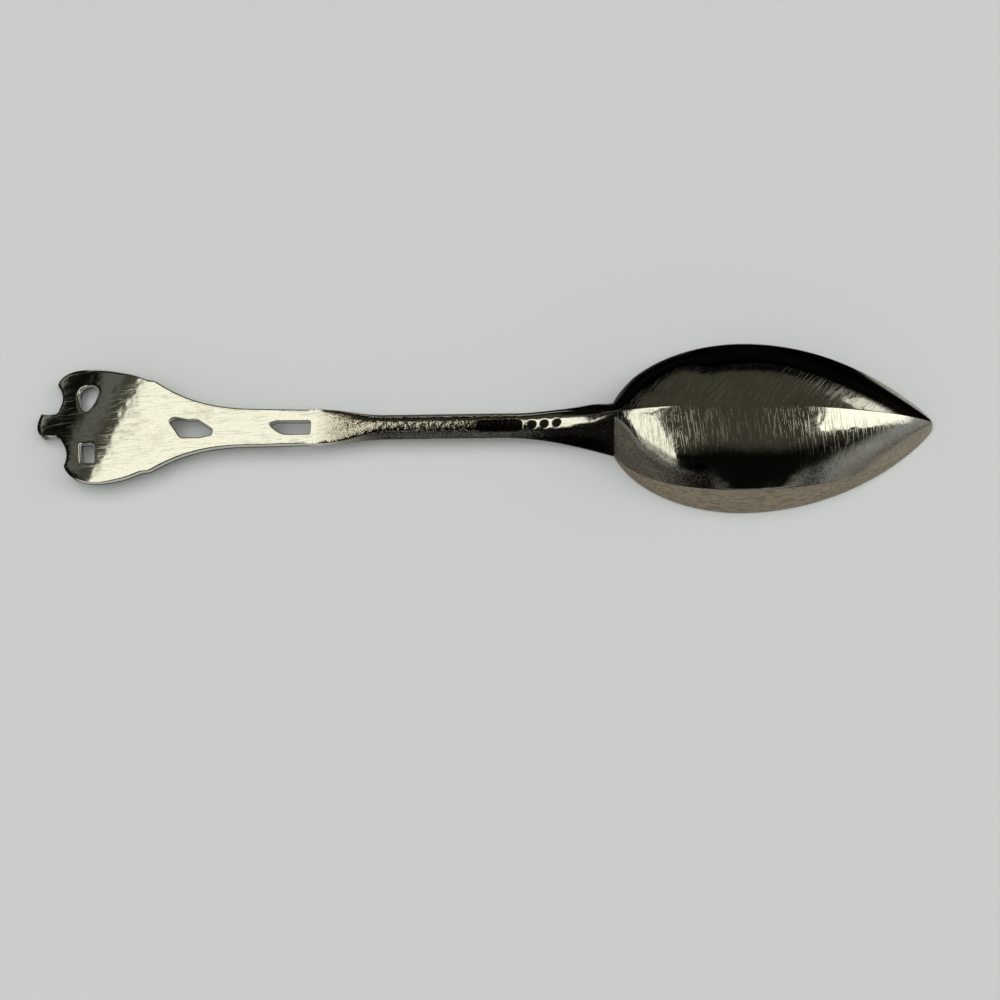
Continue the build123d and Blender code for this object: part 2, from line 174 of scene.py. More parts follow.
class HandleSizes(PropertyGroup):
    length: size("Length", "The whole spoon", 0.1514)
    root: size("Root", "Heel to the slim shank", 0.019)
    root_flare: share("Root flare", "How fast the root widens to the heel", 2.3)
    root_rise: share("Root rise", "How fast the root rises to the heel", 2.0)
    width: size("Stem width", "Width of the shank", 0.0042)
    thickness: size("Stem thickness", "Thickness of the shank", 0.0023)
    shank_wall: size("Shank wall", "Height of the shank's side walls", 0.00035)
    shank_bottom: share("Shank bottom", "Breadth of the shank's upper handle", 0.56)
    shank_flank: share("Shank flank", "Breadth of the shank's lower handle", 1.0)
    shank_drop: share("Shank drop", "Drop of the shank's lower handle", 0.45)
    shank_lean: angle("Shank lean", "Lean of the shank's side walls", 8.0)
    shoulder: size("Shoulder", "Length that flattens into the plate", 0.0107)
    lift: size("Lift", "Height of the plate's underside", 0.0028)
    plate: size("Plate", "Thickness of the plate", 0.0014)
    edge: size("Edge", "Rounding of the plate's upper edges", 0.00035)
    neck: size("Neck", "Width of the plate at the stem", 0.0061)
    waist: size("Waist", "Width of the plate where it starts to flare", 0.0066)
    flare: size("Flare", "Length of the flare", 0.01765)
    flare_hold: share("Flare hold", "How long the flare keeps the waist's width", 0.48)
    flare_sweep: share("Flare sweep", "How late the flare sweeps out", 0.25)
    sweep_width: size("Sweep width", "Width that the flare sweeps out from", 0.0104)
    notch_length: size("Notch length", "Length of the step between flare and lobes", 0.00155)
    notch: size("Notch", "Width at the foot of the flare", 0.0162)
    lobe_root: size("Lobe root", "Width where the lobes start", 0.0166)
    lobe_length: size("Lobe length", "Notch to the finial", 0.016)
    lobe: size("Lobe", "Width that the lobes swell to", 0.0209)
    lobe_swell: share("Lobe swell", "How long the lobes swell", 0.27)
    lobe_round: share("Lobe round", "How late the lobes turn in", 0.09)
    round_width: size("Round width", "Width that the lobes turn in from", 0.0244)
    lobe_tip: size("Lobe tip", "Width across the lobes' tips", 0.0152)
    lobe_gap: size("Lobe gap", "Lobes' tips to the finial", 0.00125)
    scallop: size("Scallop", "Depth of the scallops between the lobes and the neck", 0.0008)
    collar: size("Collar", "Width of the neck at the scallops", 0.006)
    slot_gap: size("Slot gap", "Flare to the slot", 0.0022)
    slot_length: size("Slot length", "Length of the slot", 0.0072)
    slot_width: size("Slot width", "Width of the slot", 0.0022)
    slot_drop: size("Slot drop", "Slot's middle below the centre line", 0.00015)
    slot_joint: size("Slot to joint", "Slot to the stem's joint", 0.0014)
    slot_bevel: share("Slot bevel", "Length of the slot's bevelled end", 0.18)
    slot_sweep: share("Slot sweep", "Length of the slot's swept end", 0.4)
    slot_point: share("Slot point", "Drop of the slot's point", 0.2)
    lozenge_gap: size("Lozenge gap", "Foot of the flare to the lozenge", 0.00285)
    lozenge_length: size("Lozenge length", "Length of the lozenge", 0.0072)
    lozenge_width: size("Lozenge width", "Width of the lozenge", 0.0035)
    lozenge_drop: size("Lozenge drop", "Lozenge's middle below the centre line", 0.0002)
    lozenge_shoulder: share("Lozenge shoulder", "Place of the lozenge's shoulder", 0.62)
    lozenge_taper: share("Lozenge taper", "Drop of the lozenge's shoulder", 0.2)
    lozenge_wave: share("Lozenge wave", "Wave of the lozenge's upper side", 0.5)
    lozenge_blunt: share("Lozenge blunt", "Height of the lozenge's blunt end", 0.25)
    lozenge_flat: share("Lozenge flat", "Length of the lozenge's lower bevels", 0.28)
    eye_gap: size("Eye gap", "Finial to the eyes", 0.005)
    eye_offset: size("Eye offset", "Centre line to the leaf-shaped eye", 0.00475)
    leaf_length: size("Leaf length", "Length of the leaf-shaped eye", 0.00325)
    leaf_width: size("Leaf width", "Width of the leaf-shaped eye", 0.0046)
    leaf_tip: share("Leaf tip", "Place of the leaf's tip", 0.4)
    leaf_taper: share("Leaf taper", "Taper of the leaf's far side", 0.2)
    leaf_hip: share("Leaf hip", "Height of the leaf's near side", 0.1)
    leaf_cheek: share("Leaf cheek", "Height of the leaf's far side", 0.25)
    leaf_crown: share("Leaf crown", "Fullness of the leaf's crown", 0.6)
    window_offset: size("Window offset", "Centre line to the squared eye", 0.0053)
    window_length: size("Window length", "Length of the squared eye", 0.0023)
    window_width: size("Window width", "Width of the squared eye", 0.0033)
    finial: size("Finial", "Length of the finial", 0.0032)
    finial_neck: size("Finial neck", "Width of the finial's neck", 0.0041)
    finial_waist: size("Finial waist", "Width of the finial's waist", 0.0038)
    knob: size("Knob", "Width of the finial's end", 0.0049)
    crown: size("Crown", "Crown of the finial's end", 0.0012)
    knob_round: size("Knob rounding", "Rounding of the finial's end", 0.0008)
    curl: size("Curl", "Length that is bent down to the rest", 0.0183)
    curl_skew: angle("Curl skew", "Turn of the bend's axis", 24.0)
    sway: size("Sway", "Sideways bend of the handle's end", 0.00175)
    skew: share("Skew", "Shear of the handle's end", 0.24)
    panel_length: size("Panel length", "Length of the sunk oblong on the stem", 0.0077)
    panel_width: size("Panel width", "Width of the sunk oblong", 0.0021)
    panel_gap: size("Panel gap", "Heel to the oblong", 0.01505)
    panel_aside: size("Panel aside", "Oblong and dimples off the middle", 0.0006)
    panel_depth: size("Panel depth", "Depth of the oblong and the dimples", 0.00003)
    dimple: size("Dimple", "Width of the three round dimples", 0.0016)


class SilverLook(PropertyGroup):
    bright: colour("Bright", "Rubbed silver", (0.65, 0.64, 0.57))
    # Warm brown for real dulling, and for a painted dark reflection on the bowl's walls and steep flanks
    dull_and_painted_reflection: colour("Dull", "Tarnished silver", (0.32, 0.265, 0.19))
    # Near black for real blackening in the sunk places and pits, and for painted shade on steep sides and
    # walls
    patina_and_painted_shade: colour("Patina", "Dark patina in the recesses and on steep sides", (0.009, 0.0075, 0.006))
    bowl_roughness: share("Bowl roughness", "Roughness of the bowl", 0.06, 1.0)
    handle_roughness: share("Handle roughness", "Roughness of the handle", 0.09, 1.0)
    bowl_wear: share("Bowl wear", "Strength of the scratches on the bowl", 1.0)
    handle_wear: share("Handle wear", "Strength of the scratches on the handle", 0.7)
    scratch_roughness: share("Scratch roughness", "Roughness that scratches add", 0.22, 1.0)
    tarnish_roughness: share("Tarnish roughness", "Roughness that tarnish adds", 0.16, 1.0)
    patina_roughness: share("Patina roughness", "Roughness that patina adds", 0.14, 1.0)
    # Grazing tint over the blackening and the painted shade
    patina_and_shade_edge: colour("Patina edge", "Tint of the patina at a grazing view", (0.4, 0.4, 0.4))
    unevenness: size("Unevenness", "Height of the slightly uneven surface", 0.00006)
    scratch_depth: size("Scratch depth", "Depth of the scratches", 0.0000025)
    pit_depth: size("Pit depth", "Depth of the pits on the stem", 0.0001)


class StageLook(PropertyGroup):
    floor: colour("Floor", "Pale floor", (0.775, 0.80, 0.82))
    lean: angle("Lean", "Tilt of the camera from straight above", 17.0)
    aside: angle("Aside", "Tilt of the camera towards the tip", 2.3)
    lens: FloatProperty(
        name="Lens", description="Focal length in mm on a 36 mm sensor", default=57.6, min=1.0)
    distance: size("Distance", "Camera to the middle of the spoon, along its axis", 0.2705)
    middle: FloatVectorProperty(
        name="Middle", description="Spoon's middle in the picture, from its centre, in shares of its width",
        default=(-0.0198, 0.0678), size=2)
    key: watts("Key", "Power of the two window-like softboxes on the left", 1.72)
    glint: watts("Glint", "Power of the small softbox beyond the tip", 1.15)
    side: watts("Side", "Power of the small softbox beside the tip", 0.16)
    room_left: angle("Room left", "Lean of the dim room's edge beyond the left softbox", 30.0)
    room_far: angle("Room far", "Lean of the dim room's edge beyond the spoon", 67.0)
    room_near: angle("Room near", "Lean of the dim room's edge on the near side", 32.0)
    room: share("Room", "Strength of the dim room overhead", 0.055)
    strip: share("Strip", "Strength of the strip between the room and the left softbox", 0.14)
    night: share("Night", "Strength of what is dark in the room", 0.003)
    horizon: share("Horizon", "Strength of the pale studio low around the spoon", 0.5)
    fill: watts("Fill", "Power of the overhead light on the floor", 318.0)


def ease(low, high, x, place=0.0, run=1.0):
    """Goes from low to high with level slopes at both ends, while x goes from a place over a run."""
    part = np.clip((x - place) / run, 0.0, 1.0)
    return low + (high - low) * part * part * (3 - 2 * part)


def bezier(*points):
    """Points along the cubic or square Bezier curve with these control points."""
    points = np.asarray(points, float)[:, None, :]
    part = np.linspace(0, 1, CURVE_STEPS)[:, None]
    while len(points) > 1:
        points = points[:-1] * (1 - part) + points[1:] * part
    return points[0]


def bent_place(h, p, x, y):
    """A place on the plate or the finial, swayed and sheared ever more towards the hand-bent end."""
    sway = h.sway * np.clip((p.scarf - x) / (p.scarf - p.end), 0, None) ** 2
    skew = h.skew * np.clip((p.notch - x) / (p.notch - p.end), 0, None)
    return x - skew * y, y + sway


def places(context):
    """Places along the spoon, levels of the handle, and the arc of the curled end."""
    b, h = context.scene.spoon_bowl, context.scene.spoon_handle
    p = SimpleNamespace(tip=h.length / 2, end=-h.length / 2, bowl=b.front + b.rear)
    p.heel = p.tip - p.bowl
    p.finial = p.end + h.finial
    p.notch = p.finial + h.lobe_length
    p.flare = p.notch + h.notch_length
    p.waist = p.flare + h.flare
    p.slot = p.waist + h.slot_gap
    p.scarf = p.slot + h.slot_length + h.slot_joint
    p.top, p.plate_top = h.lift + h.thickness, h.lift + h.plate
    slope = h.root_rise * (b.heel_height - p.top) / h.root
    p.heel_roundness = slope * (p.bowl - b.crest_back) / (b.height - b.heel_height)
    p.curl, p.shear = p.end + h.curl, tan(h.curl_skew)
    x, y = bent_place(h, p, p.end + h.crown, h.knob / 2)
    reach = p.curl - x + p.shear * y
    p.radius = reach / sin(2 * atan(h.lift / reach))
    return p


def hull_outline(b, back, gap, end, half_width, roof, low_front, low_rear, rear_trim, roundness):
    """Half-width and crest along a hull: a full point in front, an oval and a late fall behind."""
    low_half = b.tip_width / 2
    reach = b.rear / sqrt(1 - (b.heel_width / b.width) ** 2) - rear_trim
    blunt = np.sqrt(1 - np.clip(1 - (back - gap) / b.tip_round, 0, 1) ** 2)
    ahead = np.clip(1 - (back - gap) / (b.front - gap), 0, 1)
    front = low_half * blunt + (half_width - low_half) * (1 - ahead**2) ** b.fullness
    behind = np.clip((back - b.front) / reach, 0, 1)
    half = np.where(back <= b.front, front, half_width * np.sqrt(1 - behind**2))
    ahead = np.clip(1 - (back - gap) / (b.crest_back - gap), 0, 1)
    rise = low_front * blunt + (roof - low_front) * (1 - ahead**2) ** b.nose
    behind = np.clip((back - b.crest_back) / (end - b.crest_back), 0, 1)
    crest = np.where(back <= b.crest_back, rise, roof - (roof - low_rear) * behind**roundness)
    return half, crest


def section(half, crest, low, wall, knee_slope, form, limit, corner, lip):
    """Across the spoon, one row per section, y + iz: a cubic flank from the crest to the chine, a rounded
    chine and a straight wall down to the foot, for the +Y side, and its mirror image for the other."""
    bottom, flank, drop, lean = form
    wall_limit, flank_limit, tiny = 0.4, 0.3, 1e-9
    chine = half - wall * np.tan(lean) + 1j * (low + wall)
    fall = crest - chine.imag
    knee = chine.real * bottom
    first = knee + 1j * (crest - np.minimum(knee * np.tan(knee_slope), limit * fall))
    second = chine.real * flank + 1j * (crest - drop * fall)
    foot = half + 1j * (low + lip)
    run = np.minimum(corner, wall_limit * np.abs(foot - chine))
    stop = 1 - np.minimum(run / (3 * np.abs(chine - second) + tiny), flank_limit)
    t = np.linspace(0, 1, FLANK_STEPS)[None, :] * stop
    side = 1j * crest * (1 - t) ** 3 + 3 * first * (1 - t) ** 2 * t
    side = side + 3 * second * (1 - t) * t**2 + chine * t**3
    leave = chine + (foot - chine) * run / (np.abs(foot - chine) + tiny)
    t = np.linspace(0, 1, CHINE_STEPS)[None, 1:-1]
    turn = side[:, -1:] * (1 - t) ** 2 + 2 * chine * t * (1 - t) + leave * t**2
    t = np.linspace(0, 1, WALL_STEPS)[None, :]
    side = np.hstack([side, turn, leave + (foot - leave) * t])
    return np.hstack([-np.conj(side[:, :0:-1]), side])


def rim_bead(y_from, y_to, top, low, part, power):
    """The foot of a section, y + iz: a superellipse from one side to the other, standing on low."""
    turn = part * pi
    bow = np.abs(np.cos(turn)) ** (2 / power) * np.sign(np.cos(turn))
    y = (y_from + y_to) / 2 + (y_from - y_to) / 2 * bow
    return y + 1j * (top - (top - low) * np.sin(turn) ** (2 / power))


def grid_faces(rows, columns):
    """Corner numbers of the quads of a grid whose columns close on themselves."""
    i = np.arange(rows - 1)[:, None] * columns
    j = np.arange(columns)[None, :]
    k = (j + 1) % columns
    corners = np.broadcast_arrays(i + j, i + k, i + columns + k, i + columns + j)
    return np.stack(corners, -1).reshape(-1, 4)


def placed(name, data):
    """A new object with this data, in the scene."""
    made = bpy.data.objects.new(name, data)
    bpy.context.scene.collection.objects.link(made)
    return made


def make_object(name, points, *faces, **attributes):
    """A smooth mesh object from arrays, with coincident points merged and one float attribute per keyword.
    Each array of faces has a row of corner numbers per face."""
    mesh = bpy.data.meshes.new(name)
    corners = np.concatenate([rows.ravel() for rows in faces]).astype(np.int32)
    counts = np.concatenate([np.full(len(rows), rows.shape[1]) for rows in faces]).astype(np.int32)
    mesh.vertices.add(len(points))
    mesh.vertices.foreach_set("co", np.asarray(points, np.float32).ravel())
    mesh.loops.add(len(corners))
    mesh.loops.foreach_set("vertex_index", corners)
    mesh.polygons.add(len(counts))
    mesh.polygons.foreach_set("loop_start", (np.cumsum(counts) - counts).astype(np.int32))
    for key, values in attributes.items():
        layer = mesh.attributes.new(key, "FLOAT", "POINT")
        layer.data.foreach_set("value", np.asarray(values, np.float32).ravel())
    mesh.update(calc_edges=True)
    mesh.validate()
    shape = bmesh.new()
    shape.from_mesh(mesh)
    bmesh.ops.remove_doubles(shape, verts=shape.verts, dist=MERGE)
    bmesh.ops.dissolve_degenerate(shape, edges=shape.edges, dist=MERGE / 20)
    bmesh.ops.recalc_face_normals(shape, faces=shape.faces)
    shape.to_mesh(mesh)
    shape.free()
    mesh.shade_smooth()
    mesh.set_sharp_from_angle(angle=CREASE)
    return placed(name, mesh)


def settle(piece, node, material):
    """Gives a piece its silver, lets it ride on the spoon's one body and stand for its CAD node."""
    piece.data.materials.append(material)
    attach(piece, "root")
    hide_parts(node)


def steepness(points, gentle, steep):
    """0 where a grid of points slopes less than gentle, in degrees, and 1 where it slopes more than steep,
    by the cross product of the steps along its rows and columns."""
    tiny = 1e-15
    normal = np.cross(np.gradient(points, axis=0), np.gradient(points, axis=1))
    upright = np.abs(normal[..., 2]) / (np.linalg.norm(normal, axis=-1) + tiny)
    low, high = cos(radians(steep)), cos(radians(gentle))
    return ease(1.0, 0.0, upright, low, high - low)


def fuller(form, extra, full):
    """The form of a section with a broader flank that drops less, by extra where full is 1."""
    bottom, flank, drop, lean = form
    return bottom + extra[0] * full, flank + extra[1] * full, drop - extra[2] * full, lean


def bowl_painted_reflection(points, back, across):
    """Strength of the painted dark reflection, and of a darker brown that is partly painted reflection and
    partly real dulling, on the bowl's outer columns, by slope: dark on the far side from a low slope on, on
    the near side grey at the tip and the heel and darker between them."""
    far = points[..., 1] > 0
    near = ease(TIP_DARK, MIDDLE_DARK, back, *DARK_STARTS) * ease(1.0, HEEL_DARK, back, *DARK_ENDS)
    steep = ease(steepness(points, *TIP_SLOPES), steepness(points, *MIDDLE_SLOPES), back, *MIDDLE_STARTS)
    steep = ease(steep, steepness(points, *HEEL_SLOPES), back, *MIDDLE_ENDS)
    steep = np.where(far, steepness(points, *FAR_SLOPES), steep)
    steep[:, across:] = 0.0
    band = ease(steep * (1 - steepness(points, *WALL_SLOPES)), steep, back, *WALL_DARKENS)
    dark = FLANK_DARK * band * np.where(far, 1.0, near)
    return dark, FLANK_DULL_AND_REFLECTION * steep * steepness(points, *DULL_AND_REFLECTION_SLOPES)


def bowl_piece(context):
    """The bowl as one closed skin: outside, rim, inside and rim again across, from the tip to the heel along.
    The rows lie closer together at both ends. The side wall is tallest at the widest place."""
    b, p = context.scene.spoon_bowl, places(context)
    along = np.linspace(0, 1, BOWL_ROWS)
    along = (EVEN_ROWS * along + END_ROWS * (1 - np.cos(along * pi)) / 2)[:, None]

    def skin(back, gap, end, half_width, roof, tallest, low_front, low_rear, rear_trim, roundness):
        half, crest = hull_outline(
            b, back, gap, end, half_width, roof, low_front, low_rear, rear_trim, roundness)
        lip = np.minimum(b.rim_round, LIP_LIMIT * crest)
        wall = np.minimum(tallest * (half / half_width) ** 2, b.wall_limit * crest)
        wall = np.maximum(wall, LIP_ROOM * lip)
        slope = ease(b.keel, b.keel_middle, back / b.crest_back)
        slope = ease(slope, b.keel_rear, back, *KEEL_SHARPENS)
        slope = ease(slope, b.keel_heel, back, KEEL_SOFTENS, p.bowl - KEEL_SOFTENS)
        full = ease(0.0, 1.0, back, *SHOULDER_FILLS)
        full = full * ease(1.0, 0.0, back, SHOULDER_FADES, p.bowl - SHOULDER_FADES)
        form = fuller((b.bottom, b.flank, b.drop, b.lean), SHOULDER_FORM, full)
        return section(half, crest, 0.0, wall, slope, form, b.keel_limit, b.chine_round, lip), lip

    cavity_length = p.bowl - b.heel_wall
    outer_back = along * p.bowl
    inner_back = b.tip_wall + along * (cavity_length - b.tip_wall)
    outer, lip = skin(outer_back, 0.0, p.bowl, b.width / 2, b.height, b.wall_height,
                      b.tip_height, b.heel_height, 0.0, p.heel_roundness)
    inner, lip_in = skin(inner_back, b.tip_wall, cavity_length, b.width / 2 - b.wall, b.height - b.wall,
                         b.cavity_wall, b.cavity_end, b.cavity_end, b.heel_wall, b.cavity_roundness)
    turn = np.linspace(0, 1, BOWL_BEAD + 2)[None, 1:-1]
    rim = rim_bead(outer[:, -1:].real, inner[:, -1:].real, np.maximum(lip, lip_in), 0.0, turn, RIM_POWER)
    rim_back = outer_back + (inner_back - outer_back) * turn
    back = np.hstack([outer_back + 0 * outer.real, rim_back, inner_back + 0 * inner.real, rim_back[:, ::-1]])
    skin_line = np.hstack([outer, rim, inner[:, ::-1], -np.conj(rim[:, ::-1])])
    points = np.stack([p.tip - back, skin_line.real, skin_line.imag], -1)
    across, columns = outer.shape[1], points.shape[1]
    j = np.arange(across - 1)
    end, last = (BOWL_ROWS - 1) * columns, columns - BOWL_BEAD - 1
    closing = np.stack([end + j, end + j + 1, end + last - j - 1, end + last - j], -1)
    # Darker brown on the outer walls and the rim is a painted dark reflection with some real dulling; inside
    # the hollow it is real dulling
    walls = (np.abs(np.arange(across) - across // 2) > FLANK_STEPS).astype(float)
    rims, hollow = np.ones(BOWL_BEAD), np.full(across, INSIDE_DULL)
    tarnish = np.concatenate([walls, rims, hollow, rims]) + 0 * along
    # The flanks get a painted dark reflection by slope, darker on the far side than on the near side
    patina_and_painted_shade, dull_and_painted_reflection = bowl_painted_reflection(points, back, across)
    quads = np.vstack([grid_faces(BOWL_ROWS, columns), closing])
    return make_object("bowl_silver", points.reshape(-1, 3), quads,
                       recess=patina_and_painted_shade * (1 - tarnish), tarnish=np.maximum(tarnish, dull_and_painted_reflection))


def sunk_places(h, away, aside):
    """1 in a sunk oblong with round corners and in three round dimples towards the heel, 0 around them,
    by the distance from their edges."""
    corner, border = 0.0009, 0.0003
    dx = np.abs(away - h.panel_gap - h.panel_length / 2) - h.panel_length / 2 + corner
    dy = np.abs(aside) - h.panel_width / 2 + corner
    outside = np.hypot(np.maximum(dx, 0), np.maximum(dy, 0)) + np.minimum(np.maximum(dx, dy), 0) - corner
    sunk = ease(1.0, 0.0, outside, -border / 2, border)
    dimple_gap, dimple_pitch, dimple_edge = 0.0016, 1.25, (0.75, 0.35)
    for number in range(3):
        centre = h.panel_gap - dimple_gap - number * dimple_pitch * h.dimple
        ring = np.hypot(away - centre, aside) / (h.dimple / 2)
        sunk = np.maximum(sunk, ease(1.0, 0.0, ring, *dimple_edge))
    return sunk


def stem_piece(context):
    """The stem as one closed skin: a half-round back on a flat front, from the heel to the slanting joint.
    The bowl's section at the heel goes over to the shank's along the root, and to the plate's on the
    shoulder."""
    b, h, p = context.scene.spoon_bowl, context.scene.spoon_handle, places(context)
    lip, corner, hairline, back_starts = 0.00025, 0.0001, 0.00002, (0.0012, 0.0006)
    length = p.heel - p.scarf
    away = np.linspace(0, 1, STEM_ROWS)[:, None] * (length + h.plate / 2)
    rest = 1 - np.clip(away / h.root, 0, 1)
    level = (away - length + h.shoulder) / h.shoulder
    half = h.width / 2 + (b.heel_width - h.width) / 2 * rest**h.root_flare
    half = ease(half, h.neck / 2, level)
    crest = ease(p.top + (b.heel_height - p.top) * rest**h.root_rise, p.plate_top, level)
    low = ease(0.0, h.lift, 1 - rest)
    heel_wall = b.wall_height * (b.heel_width / b.width) ** 2
    wall = ease(ease(heel_wall, h.shank_wall, 1 - rest), h.plate - h.edge, level)
    wall = ease(wall, h.plate - hairline, away - length, *EDGE_SQUARES)
    heel_form = (b.bottom, b.flank, b.drop, b.lean)
    shank_form = (h.shank_bottom, h.shank_flank, h.shank_drop, h.shank_lean)
    form = [ease(ease(heel, shank, 1 - rest), plate, level)
            for heel, shank, plate in zip(heel_form, shank_form, PLATE_FORM)]
    broad = ease(0.0, 1.0, away, *ROOT_BROADENS) * ease(1.0, 0.0, away, *ROOT_NARROWS)
    slope = ease(0.0, b.keel_heel, rest)
    back = section(half, crest, low, wall, slope, fuller(form, ROOT_FORM, broad), b.keel_limit, corner, lip)
    turn = np.linspace(0, 1, STEM_BEAD + 2)[None, 1:-1]
    front = rim_bead(half, -half, low + lip, low, turn, FRONT_POWER)
    around = np.hstack([back, front])
    y, z = around.real, around.imag
    away = away + 0 * y
    sunk = sunk_places(h, away, y + h.panel_aside) * ease(0.0, 1.0, z - h.lift, *back_starts)
    z = z - h.panel_depth * sunk
    pitted = ease(0.0, 1.0, away, *PITS_START) * ease(1.0, 0.0, away - length, *PITS_END)
    # Slanting joint with the plate
    slant = ease(0.0, 1.0, away - length, *JOINT_SLANTS)
    away = np.minimum(away, length) + (z - h.lift - h.plate / 2) * slant
    points = np.stack([p.heel - away, y, z], -1)
    # Real blackening in the sunk places, and painted dark reflection on the steep sides, most at the root and
    # least at the plate
    steep = ease(steepness(points, *SHANK_SLOPES), steepness(points, *ROOT_SLOPES), rest, *ROOT_SPREADS)
    dark = ease(SHANK_DARK, ROOT_DARK, rest, *ROOT_DARKENS) * ease(1.0, PLATE_DARK, level)
    recess = np.maximum(SUNK_DARK * sunk, dark * steep)
    # Both ends closed by a point in their middle
    ends = points[[0, -1]].mean(axis=1, keepdims=True) + 0 * points[[0, -1]]
    points = np.concatenate([ends[:1], points, ends[1:]])
    recess, pitted = (np.pad(values, ((1, 1), (0, 0)), mode="edge") for values in (recess, pitted))
    return make_object("stem_silver", points.reshape(-1, 3), grid_faces(*points.shape[:2]),
                       recess=recess, pitted=pitted)


def closed_curve(points, spacing, soften, keep=None):
    """A closed outline, evenly spaced by arc length. A Gaussian softens its corners, but not where keep
    is 1."""
    points = np.vstack([points, points[:1]])
    run = np.concatenate([[0], np.cumsum(np.linalg.norm(np.diff(points, axis=0), axis=1))])
    count = int(run[-1] / spacing)
    at = np.arange(count) * run[-1] / count
    even = np.interp(at, run, points[:, 0]) + 1j * np.interp(at, run, points[:, 1])
    pitch = np.fft.fftfreq(count, run[-1] / count)
    soft = np.fft.ifft(np.fft.fft(even) * np.exp(-0.5 * (2 * pi * pitch * soften) ** 2))
    if keep is not None:
        hold = keep(even.real)
        soft = soft * (1 - hold) + even * hold
    return np.stack([soft.real, soft.imag], -1)


def inside(points, curves):
    """True for the points inside the first outline and outside the others, by counting crossings."""
    odd = np.zeros(len(points), bool)
    px, py = points[:, :1], points[:, 1:]
    for curve in curves:
        (x0, y0), (x1, y1) = curve.T, np.roll(curve, -1, axis=0).T
        span = (y0 > py) != (y1 > py)
        rise = np.where(y1 == y0, 1.0, y1 - y0)
        odd ^= (np.sum(span & (px < x0 + (py - y0) * (x1 - x0) / rise), axis=1) % 2).astype(bool)
    return odd


def bent_height(h, p, x, y, part):
    """Height in the bent plate: level, then an arc down to the rest about a skewed axis.
    part is 0 at its underside and 1 on top."""
    beyond = np.minimum(x - p.shear * y - p.curl, 0.0)
    under = np.sqrt(p.radius**2 - beyond**2)
    over = np.sqrt((p.radius + h.plate) ** 2 - beyond**2)
    return h.lift - p.radius + under + (over - under) * part


def rounded_rim(h, curve, edge):
    """Rows of places around an outline, from the underside over the wall to the top, and each place's share
    of the plate's thickness: quarter circles below and above a straight wall, laid inwards."""
    low_round, low_steps, high_steps = 0.00018, 4, 7
    ahead = np.roll(curve, -1, axis=0) - np.roll(curve, 1, axis=0)
    inward = np.stack([-ahead[:, 1], ahead[:, 0]], -1) / np.linalg.norm(ahead, axis=1, keepdims=True)
    low = np.minimum(low_round, edge)
    turn = np.linspace(0, pi / 2, low_steps)[:, None]
    low_in = low * (1 - np.sin(turn))
    low_part = low * (1 - np.cos(turn)) / h.plate
    turn = np.linspace(0, pi / 2, high_steps)[:, None]
    high_in = edge * (1 - np.cos(turn))
    high_part = 1 - edge * (1 - np.sin(turn)) / h.plate
    step = np.vstack([low_in, high_in])
    return curve + inward * step[..., None], np.vstack([low_part, high_part])


def filled(name, loops):
    """Fills the first outline, but not the others, with even triangles. Gives the places added inside, every
    other row of them half a pitch aside, and the corner numbers, with the outlines' own points first."""
    pitch, clear, touch = 0.0005, 0.6, 1e-6
    rim = np.concatenate(loops)
    lower, upper = rim.min(axis=0), rim.max(axis=0)
    gx, gy = np.meshgrid(np.arange(lower[0], upper[0], pitch), np.arange(lower[1], upper[1], pitch))
    gx = gx + np.where(np.arange(len(gx))[:, None] % 2, pitch / 2, 0.0)
    seeds = np.stack([gx.ravel(), gy.ravel()], -1)
    seeds = seeds[inside(seeds, loops)]
    gap = np.min(np.hypot(seeds[:, :1] - rim[None, :, 0], seeds[:, 1:] - rim[None, :, 1]), axis=1)
    seeds = seeds[gap > clear * pitch]
    ends = np.cumsum([len(loop) for loop in loops])
    numbers = np.split(np.arange(len(rim)), ends[:-1])
    borders = np.vstack([np.stack([run, np.roll(run, -1)], -1) for run in numbers])
    cloud = np.vstack([rim, seeds]) * MM
    result = delaunay_2d_cdt(cloud.tolist(), borders.tolist(), [], 0, touch)
    if len(result[0]) != len(cloud):
        raise ValueError(f"{name}: outlines cross or touch")
    faces = np.array(result[2])
    return seeds, faces[inside(cloud[faces].mean(axis=1) / MM, loops)]


